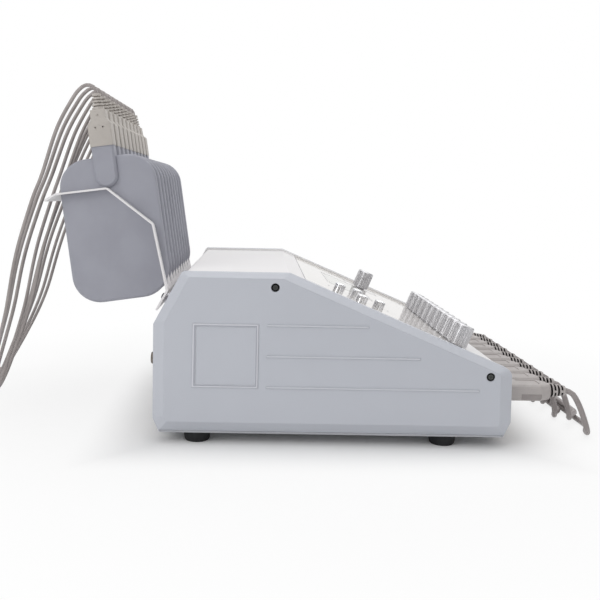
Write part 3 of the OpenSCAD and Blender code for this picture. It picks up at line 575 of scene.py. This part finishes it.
def sleeveSlots(f, skin):
    # painted shade darkens the slots of a cable sleeve a little way in, and darkens the grip
    # hollows a little
    s, pitch = sleeveSet, cableSet["socketPitch"]
    # across from the middle of the nearest plug
    across = f.reckon("MODULO", f.axis("X") + channels * pitch, pitch) - pitch / 2
    depth = (f.axis("Y") * s["taper"] + s["radius"]
             - f.far(across, f.axis("Z") - cableSet["socketHeight"]))
    grip = ((abs(across) < s["gripHalf"]) * f.band(f.axis("Y"), *s["gripY"])
            * f.band(f.axis("Z"), *s["gripZ"]))
    skin = f.mixed(grip * 0.8, skin, s["gripShade"])
    return f.mixed(f.ramp(depth, *s["slotDepth"]) * (f.axis("Y") < s["frontY"]), skin,
                   s["slotShade"])


finishes = {
    "cheek": mouldedPlastic("cheek_plastic", paint(201, 204, 212), paint(193, 196, 204),
                            rounded=0.0012, marks=cheekMarks),
    "cover": powderCoat("white_powder_coat", paint(240, 238, 239), paint(232, 230, 231)),
    "overlay": glossyFilm("panel_film", paint(226, 221, 217), paint(219, 214, 211), 0.06),
    "window": glossyFilm("window_film", paint(206, 205, 198), paint(198, 198, 191), 0.05),
    "knob": turnedMetal("knob_metal", paint(214, 213, 215), paint(202, 202, 205), 0.33,
                        streak=(6, 1, 1), grain=500, uneven=0.06, depth=0.0000012),
    "button": turnedMetal("button_chrome", paint(236, 236, 238), paint(228, 229, 231), 0.03,
                          grain=300, uneven=0.02, depth=0.0000005),
    "zinc": turnedMetal("zinc_sheet", paint(190, 192, 196), paint(168, 170, 176), 0.35,
                        streak=(1, 8, 1), grain=300),
    "steel": turnedMetal("plain_steel", paint(190, 190, 194), paint(150, 150, 156), 0.28),
    "fuse": turnedMetal("fuse_cap_metal", paint(150, 143, 136), paint(112, 104, 98), 0.3,
                        streak=(1, 12, 1)),
    "blackScrew": turnedMetal("black_screw", paint(112, 114, 112), paint(60, 62, 62), 0.35,
                              grain=1400, metallic=0.7, marks=screwHead),
    "rubber": softRubber("foot_rubber", paint(18, 19, 23), paint(10, 11, 14), 1500, 0.6),
    "cable": softRubber("cable_jacket", paint(168, 161, 160), paint(148, 141, 140), 900, 0.36),
    "lead": softRubber("lead_jacket", paint(172, 165, 163), paint(150, 143, 141), 900, 0.34),
    "pad": softRubber("pad_silicone", paint(162, 163, 173), paint(152, 153, 163), 2600, 0.46),
    "plug": mouldedPlastic("plug_plastic", paint(186, 180, 178), paint(172, 166, 164),
                           grain=1500, depth=0.00005, rounded=0.0006),
    "outputPlug": mouldedPlastic("output_plug_plastic", paint(186, 180, 178), paint(172, 166, 164),
                                 grain=1500, depth=0.00005, rounded=0.0005, marks=sleeveSlots),
    "padPlug": mouldedPlastic("pad_plug_plastic", paint(190, 184, 178), paint(178, 172, 166),
                              grain=1500, rough=0.52),
    "black": mouldedPlastic("black_plastic", paint(30, 30, 33), paint(22, 22, 24),
                            grain=1200, depth=0.00004, rough=0.42),
    "rocker": mouldedPlastic("rocker_plastic", paint(26, 26, 28), paint(20, 20, 22),
                             grain=600, depth=0.00001, rough=0.2),
    "board": mouldedPlastic("board_mask", paint(30, 96, 62), paint(22, 80, 50),
                            grain=800, depth=0.00002, rough=0.3),
    "core": mouldedPlastic("core_lacquer", paint(96, 90, 86), paint(78, 72, 70),
                           grain=400, depth=0.0001, rough=0.4),
    "print": mouldedPlastic("panel_print", paint(112, 116, 126), paint(98, 102, 112),
                            grain=3000, depth=0.00001, rough=0.35),
}

nodeFinish = {
    "left_cheek": "cheek", "right_cheek": "cheek", "top_cover": "cover", "base_tray": "zinc",
    "cheek_screws": "blackScrew", "rubber_feet": "rubber", "foot_screws": "steel",
    "panel_overlay": "overlay", "display_window": "window", "control_board": "board",
    "potentiometers": "steel", "output_sockets": "steel", "main_board": "board",
    "transformer": "core", "mains_inlet": "black", "fuse_holder": "fuse", "pad_rack": "cover",
    "rack_fixings": "steel", "output_plugs": "outputPlug", "coil_ties": "black",
    "inline_connectors": "plug", "power_rocker": "rocker",
}

# every other node takes the finish of the first family that its name holds
familyFinish = {
    "knob": "knob", "button": "button", "plug": "padPlug", "pad": "pad", "cable": "cable",
}


def dress(piece, name):
    piece.data.materials.clear()
    piece.data.materials.append(finishes[name].material)


def dressNodes():
    for name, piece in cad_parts.items():
        families = [finish for family, finish in familyFinish.items() if family in name]
        dress(piece, nodeFinish.get(name) or families[0])


dressNodes()
for piece in cables:
    dress(piece, "cable")
for piece in leads:
    dress(piece, "lead")
print("finishes ready")


def startBox(size, place, name):
    deselectAll()
    bpy.ops.mesh.primitive_cube_add(size=1, location=place)
    piece = bpy.context.object
    piece.name, piece.scale = name, size
    settle(piece)
    return piece


def choose(piece, kind, test):
    # in edit mode, picks the faces or edges that pass the test
    pickOnly(piece)
    bpy.ops.object.mode_set(mode="EDIT")
    bpy.ops.mesh.select_mode(type=kind)
    bpy.ops.mesh.select_all(action="DESELECT")
    form = bmesh.from_edit_mesh(piece.data)
    for part in (form.faces if kind == "FACE" else form.edges):
        part.select_set(bool(test(part)))
    bmesh.update_edit_mesh(piece.data)


def backToObject():
    bpy.ops.object.mode_set(mode="OBJECT")


def roundEdges(piece, test, offset, segments):
    choose(piece, "EDGE", test)
    bpy.ops.mesh.bevel(offset=offset, segments=segments, affect="EDGES")
    backToObject()


def alongX(edge):
    a, b = edge.verts
    return abs(a.co.x - b.co.x) > 0.9 * edge.calc_length()


def rimAt(halfThick):
    # the outline of the two flat sides that face along x
    return lambda edge: not alongX(edge) and all(
        abs(abs(v.co.x) - halfThick) < closeTo for v in edge.verts)


def joined(pieces):
    pickOnly(pieces[0])
    for piece in pieces[1:]:
        piece.select_set(True)
    bpy.ops.object.join()
    return bpy.context.object


def smoothed(piece, degrees):
    pickOnly(piece)
    bpy.ops.object.shade_smooth_by_angle(angle=math.radians(degrees))
    return piece


def cutBy(piece, tool):
    pickOnly(piece)
    cut = piece.modifiers.new("cut", "BOOLEAN")
    cut.operation, cut.solver, cut.object = "DIFFERENCE", "EXACT", tool
    bpy.ops.object.modifier_apply(modifier=cut.name)
    bpy.data.objects.remove(tool)
    return piece


def copyOf(piece, name):
    other = piece.copy()
    other.data = piece.data.copy()
    other.name = name
    bpy.context.collection.objects.link(other)
    return other


padSet = {
    "thick": 0.008, "wide": 0.1037, "high": 0.154,
    "corner": 0.030, "cornerSteps": 12, "edge": 0.0032, "edgeSteps": 4,
    "bossThick": 0.017, "bossWide": 0.0238, "bossLow": 0.0446, "bossHigh": 0.0882,
    "bossFlat": 0.0004,  # what the round foot leaves of its width
    "bossSteps": 9, "bossEdge": 0.0022,
}

plugSet = {
    "thick": 0.019, "wide": 0.0244, "low": 0.0882, "shoulder": 0.1122,
    # top of each stage above the block, and its thickness and width against the one below
    "stages": ((0.1166, 0.9, 0.67), (0.1272, 0.86, 0.97)),
    "sharpFrom": 0.1,  # angle in radians from which an edge is rounded
    "edge": 0.0011, "edgeSteps": 3,
    "sleeve": (0.1266, 0.1446), "sleeveR": (0.0066, 0.0046), "sleeveSides": 32, "tip": 0.0012,
    "grooves": (0.1300, 0.1334, 0.1368, 0.1402), "grooveWide": 0.0015, "grooveDeep": 0.0022,
    "pins": ((-0.004, 0.108), (0.004, 0.108), (0.0, 0.121)), "pinR": 0.0009, "pinDeep": 0.0023,
}


def modelPad():
    s = padSet
    plate = startBox((s["thick"], s["wide"], s["high"]), (0, 0, 0), "pad_form")
    roundEdges(plate, alongX, s["corner"], s["cornerSteps"])
    roundEdges(plate, rimAt(s["thick"] / 2), s["edge"], s["edgeSteps"])
    height = s["bossHigh"] - s["bossLow"]
    boss = startBox((s["bossThick"], s["bossWide"], height),
                    (0, 0, s["bossLow"] + height / 2), "boss")
    roundEdges(boss, lambda e: alongX(e) and e.verts[0].co.z < s["bossLow"] + closeTo,
               (s["bossWide"] - s["bossFlat"]) / 2, s["bossSteps"])
    # the upper end meets the plug, so only the sides and the foot are chamfered
    roundEdges(boss, lambda e: rimAt(s["bossThick"] / 2)(e) and
               min(v.co.z for v in e.verts) < s["bossHigh"] - closeTo, s["bossEdge"], 1)
    return smoothed(joined([plate, boss]), 30)


def modelPlugBlock():
    # a block, then the shoulder and the narrow neck drawn up from its top
    s = plugSet
    block = startBox((s["thick"], s["wide"], s["shoulder"] - s["low"]),
                     (0, 0, (s["low"] + s["shoulder"]) / 2), "pad_plug_form")
    height = s["shoulder"]
    for top, scaleX, scaleY in s["stages"]:
        choose(block, "FACE", lambda f: f.normal.z > 0.9)
        bpy.ops.mesh.extrude_region_move(TRANSFORM_OT_translate={"value": (0, 0, top - height)})
        bpy.ops.transform.resize(value=(scaleX, scaleY, 1))
        backToObject()
        height = top
    roundEdges(block, lambda e: e.calc_face_angle(0) > s["sharpFrom"] and
               max(v.co.z for v in e.verts) > s["low"] + closeTo, s["edge"], s["edgeSteps"])
    return block


def modelPlugSleeve():
    # a cone, cut at the edges of its grooves and pressed in between them
    s = plugSet
    low, high = s["sleeve"]
    deselectAll()
    bpy.ops.mesh.primitive_cone_add(vertices=s["sleeveSides"], radius1=s["sleeveR"][0],
                                    radius2=s["sleeveR"][1], depth=high - low,
                                    location=(0, 0, (low + high) / 2))
    sleeve = bpy.context.object
    settle(sleeve)
    cuts = [edge for groove in s["grooves"] for edge in (groove, groove + s["grooveWide"])]
    for z in cuts + [high - s["tip"]]:
        pickOnly(sleeve)
        bpy.ops.object.mode_set(mode="EDIT")
        bpy.ops.mesh.select_all(action="SELECT")
        bpy.ops.mesh.bisect(plane_co=(0, 0, z), plane_no=(0, 0, 1))
        backToObject()
    choose(sleeve, "FACE", lambda f: abs(f.normal.z) < 0.5 and any(
        groove < f.calc_center_median().z < groove + s["grooveWide"] for groove in s["grooves"]))
    bpy.ops.mesh.extrude_region_shrink_fatten(
        TRANSFORM_OT_shrink_fatten={"value": -s["grooveDeep"]})
    backToObject()
    return sleeve


def modelPinHoles():
    # round rods along x, without their middle
    s = plugSet
    rods = []
    for y, z in s["pins"]:
        deselectAll()
        bpy.ops.mesh.primitive_cylinder_add(vertices=16, radius=s["pinR"], depth=5 * s["thick"],
                                            location=(0, y, z), rotation=(0, math.pi / 2, 0))
        rods.append(bpy.context.object)
        settle(rods[-1])
    middle = startBox((s["thick"] - 2 * s["pinDeep"], 3 * s["wide"], 5 * s["thick"]),
                      (0, 0, s["pins"][0][1]), "middle")
    return cutBy(joined(rods), middle)


def modelPadPlug():
    return smoothed(cutBy(joined([modelPlugBlock(), modelPlugSleeve()]), modelPinHoles()), 38)


def placePart(form, k, node, name, finish):
    piece = copyOf(form, name)
    piece.location = (placeOf(k, rackSet["pitch"]), *rackSet["padCentre"])
    piece.rotation_euler = (-math.radians(rackSet["lean"]), 0, 0)
    settle(piece)
    dress(piece, finish)
    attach(piece, "pad_%d" % (k + 1))
    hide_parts(node)


def placePadParts():
    padForm, plugForm = modelPad(), modelPadPlug()
    for k in range(channels):
        pad, plug = "pad_%d" % (k + 1), "pad_plug_%d" % (k + 1)
        placePart(padForm, k, pad, "soft_" + pad, "pad")
        placePart(plugForm, k, plug, "moulded_" + plug, "padPlug")
    for form in (padForm, plugForm):
        bpy.data.objects.remove(form)


placePadParts()
print("pads and plugs modelled")


printSet = {
    "slopeTop": (-0.0163, 0.173), "slopeA": 22.642, "drop": 0.0025,
    "panel": (0.0192, 0.2085, 0.1648),  # first and last line down the slope, and half its width
    "knobPitch": 0.0286, "rowS": 0.1972, "program": (0.103, 0.114),
    "ticks": 11, "tickTurns": (-150, 30), "tickR": 0.0125, "tickLong": 0.0016,
    "numberUp": 0.0185, "numberSize": 0.0045,
    "window": (0.025, 0.084, 0.116, 0.058), "programBox": (0.040, 0.044),
    "arrows": ((-0.082, 0.0516, 0), (-0.082, 0.1244, 180), (-0.1184, 0.088, 90),
               (-0.0456, 0.088, -90)),
    "strokeLong": 0.0028, "strokeTurn": 40, "strokeAside": 0.0009,
    "endInset": 0.0009, "endShort": 0.003,
    "ink": 0.00008, "line": 0.0006,
}


def onPanel(x, s, turn=0.0):
    # x across, s down the slope, with z off the film
    slope = Matrix.Rotation(math.radians(printSet["slopeA"]), 4, "X")
    return (Matrix.Translation((0, *printSet["slopeTop"])) @ slope
            @ Matrix.Translation((x, -s, printSet["ink"] / 2 - printSet["drop"]))
            @ Matrix.Rotation(turn, 4, "Z"))


def inkBar(x, s, wide, long, turn=0.0):
    deselectAll()
    bpy.ops.mesh.primitive_cube_add(size=1)
    bar = bpy.context.object
    bar.matrix_world = onPanel(x, s, turn) @ Matrix.Diagonal((wide, long, printSet["ink"], 1))
    return bar


def inkNumber(number, x, s):
    deselectAll()
    bpy.ops.object.text_add()
    text = bpy.context.object
    text.data.body, text.data.size = str(number), printSet["numberSize"]
    text.data.align_x, text.data.align_y = "CENTER", "CENTER"
    text.data.extrude, text.data.resolution_u = printSet["ink"] / 2, 3
    bpy.ops.object.convert(target="MESH")
    figure = bpy.context.object
    figure.matrix_world = onPanel(x, s)
    return figure


def inkBox(x, s, wide, high):
    line = printSet["line"]
    bars = []
    for side in (-1, 1):
        bars.append(inkBar(x, s + side * high / 2, wide + line, line))
        bars.append(inkBar(x + side * wide / 2, s, line, high))
    return bars


def inkTicks(x, s):
    # a ring of ticks round a knob
    first, step = printSet["tickTurns"]
    radius = printSet["tickR"]
    bars = []
    for i in range(printSet["ticks"]):
        turn = math.radians(first + step * i)
        bars.append(inkBar(x + radius * math.sin(turn), s - radius * math.cos(turn),
                           printSet["line"], printSet["tickLong"], -turn))
    return bars


def inkArrow(x, s, degrees):
    # an arrow head of two strokes
    turn, spread = math.radians(degrees), math.radians(printSet["strokeTurn"])
    bars = []
    for side in (-1, 1):
        aside = side * printSet["strokeAside"]
        bars.append(inkBar(x + aside * math.cos(turn), s - aside * math.sin(turn),
                           printSet["line"], printSet["strokeLong"], turn + side * spread))
    return bars


def printPanel():
    bars = []
    knobs = [(placeOf(k, printSet["knobPitch"]), printSet["rowS"]) for k in range(channels)]
    for x, s in knobs + [printSet["program"]]:
        bars += inkTicks(x, s)
    for k, (x, s) in enumerate(knobs):
        bars.append(inkNumber(k + 1, x, s - printSet["numberUp"]))
    bars += inkBox(*printSet["window"]) + inkBox(*printSet["program"], *printSet["programBox"])
    for arrow in printSet["arrows"]:
        bars += inkArrow(*arrow)
    first, last, half = printSet["panel"]
    for s in (first + printSet["endInset"], last - printSet["endInset"]):
        bars.append(inkBar(0, s, 2 * half - printSet["endShort"], printSet["line"]))
    sheet = joined(bars)
    sheet.name = "panel_print"
    settle(sheet)
    dress(sheet, "print")
    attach(sheet, "console")


printPanel()
print("panel printed")


studioSet = {
    "lamps": [
        # place, aim, size, watts
        ((-0.8, -0.9, 1.3), (0, 0, 0.1), 1.2, 2),
        ((-1.0, 1.0, 0.8), (-0.1, 0.1, 0.1), 0.9, 6),
        ((0.1, 0.1, 1.9), (0, 0, 0.1), 1.6, 6.5),
        ((0.5, -1.0, 1.4), (0, -0.1, 0.1), 1.2, 6),
    ],
    "world": 0.5, "floorSize": 14,
    # the floor shines least under the housing, so that its shadow stays, and is white further out
    "housing": (0.0, -0.061, 0.186, 0.182), "floorGlow": (0.02, 0.79, 0.19),
    "shadowFades": (-0.015, 0.08), "clearFrom": (0.3, 0.65),
    # dark flags that only polished surfaces show: bearing, width, tone
    "flags": ((-66, 18, 0.02), (-42, 17, 0.42), (-8, 17, 0.02), (16, 20, 0.42), (52, 20, 0.02),
              (76, 16, 0.42), (118, 18, 0.1), (-112, 22, 0.2)),
    "flagRadius": 0.64, "flagHeight": 1.1,
}


def makeFloor():
    deselectAll()
    bpy.ops.mesh.primitive_plane_add(size=studioSet["floorSize"])
    floor = bpy.context.object
    floor.name = "floor"
    f = Finish("studio_floor", Base_Color=(0.9, 0.9, 0.9, 1), Roughness=0.9)
    x0, y0, halfX, halfY = studioSet["housing"]
    x, y = f.axis("X") - x0, f.axis("Y") - y0
    beside = f.ramp((abs(x) - halfX).most(abs(y) - halfY), *studioSet["shadowFades"])
    away = f.ramp(f.far(x, y), *studioSet["clearFrom"])
    under, near, clear = studioSet["floorGlow"]
    glow = f.rays("Camera", "Glossy", "Transmission") * (beside * near + away * clear + under)
    f.lit(glow, Value(f, f.shader.outputs[0]), 1)
    floor.data.materials.append(f.material)


def makeFlag(bearing, wide, tone):
    # a card beside or behind the camera, clear to everything but glossy rays
    a, r = math.radians(bearing), studioSet["flagRadius"]
    deselectAll()
    bpy.ops.mesh.primitive_plane_add(
        size=1, location=(-r * math.cos(a), r * math.sin(a), studioSet["flagHeight"] / 2),
        rotation=(math.pi / 2, 0, math.pi / 2 - a))
    flag = bpy.context.object
    flag.name = "flag_%d" % (bearing + 180)
    flag.scale = (2 * r * math.tan(math.radians(wide / 2)), studioSet["flagHeight"], 1)
    settle(flag)
    f = Finish(flag.name)
    f.lit(f.rays("Glossy"), f.add("ShaderNodeBsdfTransparent"), tone)
    flag.data.materials.append(f.material)


def makeWorld():
    # white behind the object, and half as bright for the light that falls on it
    world = bpy.data.worlds.new("studio")
    bpy.context.scene.world = world
    world.use_nodes = True
    n = Nodes(world.node_tree)
    seen = n.rays("Camera", "Glossy", "Transmission")
    sky = n.tree.nodes["Background"].inputs
    n.feed(sky["Color"], (1, 1, 1, 1))
    n.feed(sky["Strength"], seen * (1 - studioSet["world"]) + studioSet["world"])


def makeStudio():
    makeFloor()
    for flag in studioSet["flags"]:
        makeFlag(*flag)
    makeWorld()
    for place, aim, size, watts in studioSet["lamps"]:
        bpy.ops.object.light_add(type="AREA", location=place)
        lamp = bpy.context.object
        lamp.data.size, lamp.data.energy = size, watts
        lamp.rotation_euler = (Vector(aim) - Vector(place)).to_track_quat("-Z", "Y").to_euler()
    bpy.context.scene.view_settings.view_transform = "Standard"


makeStudio()
print("studio ready")
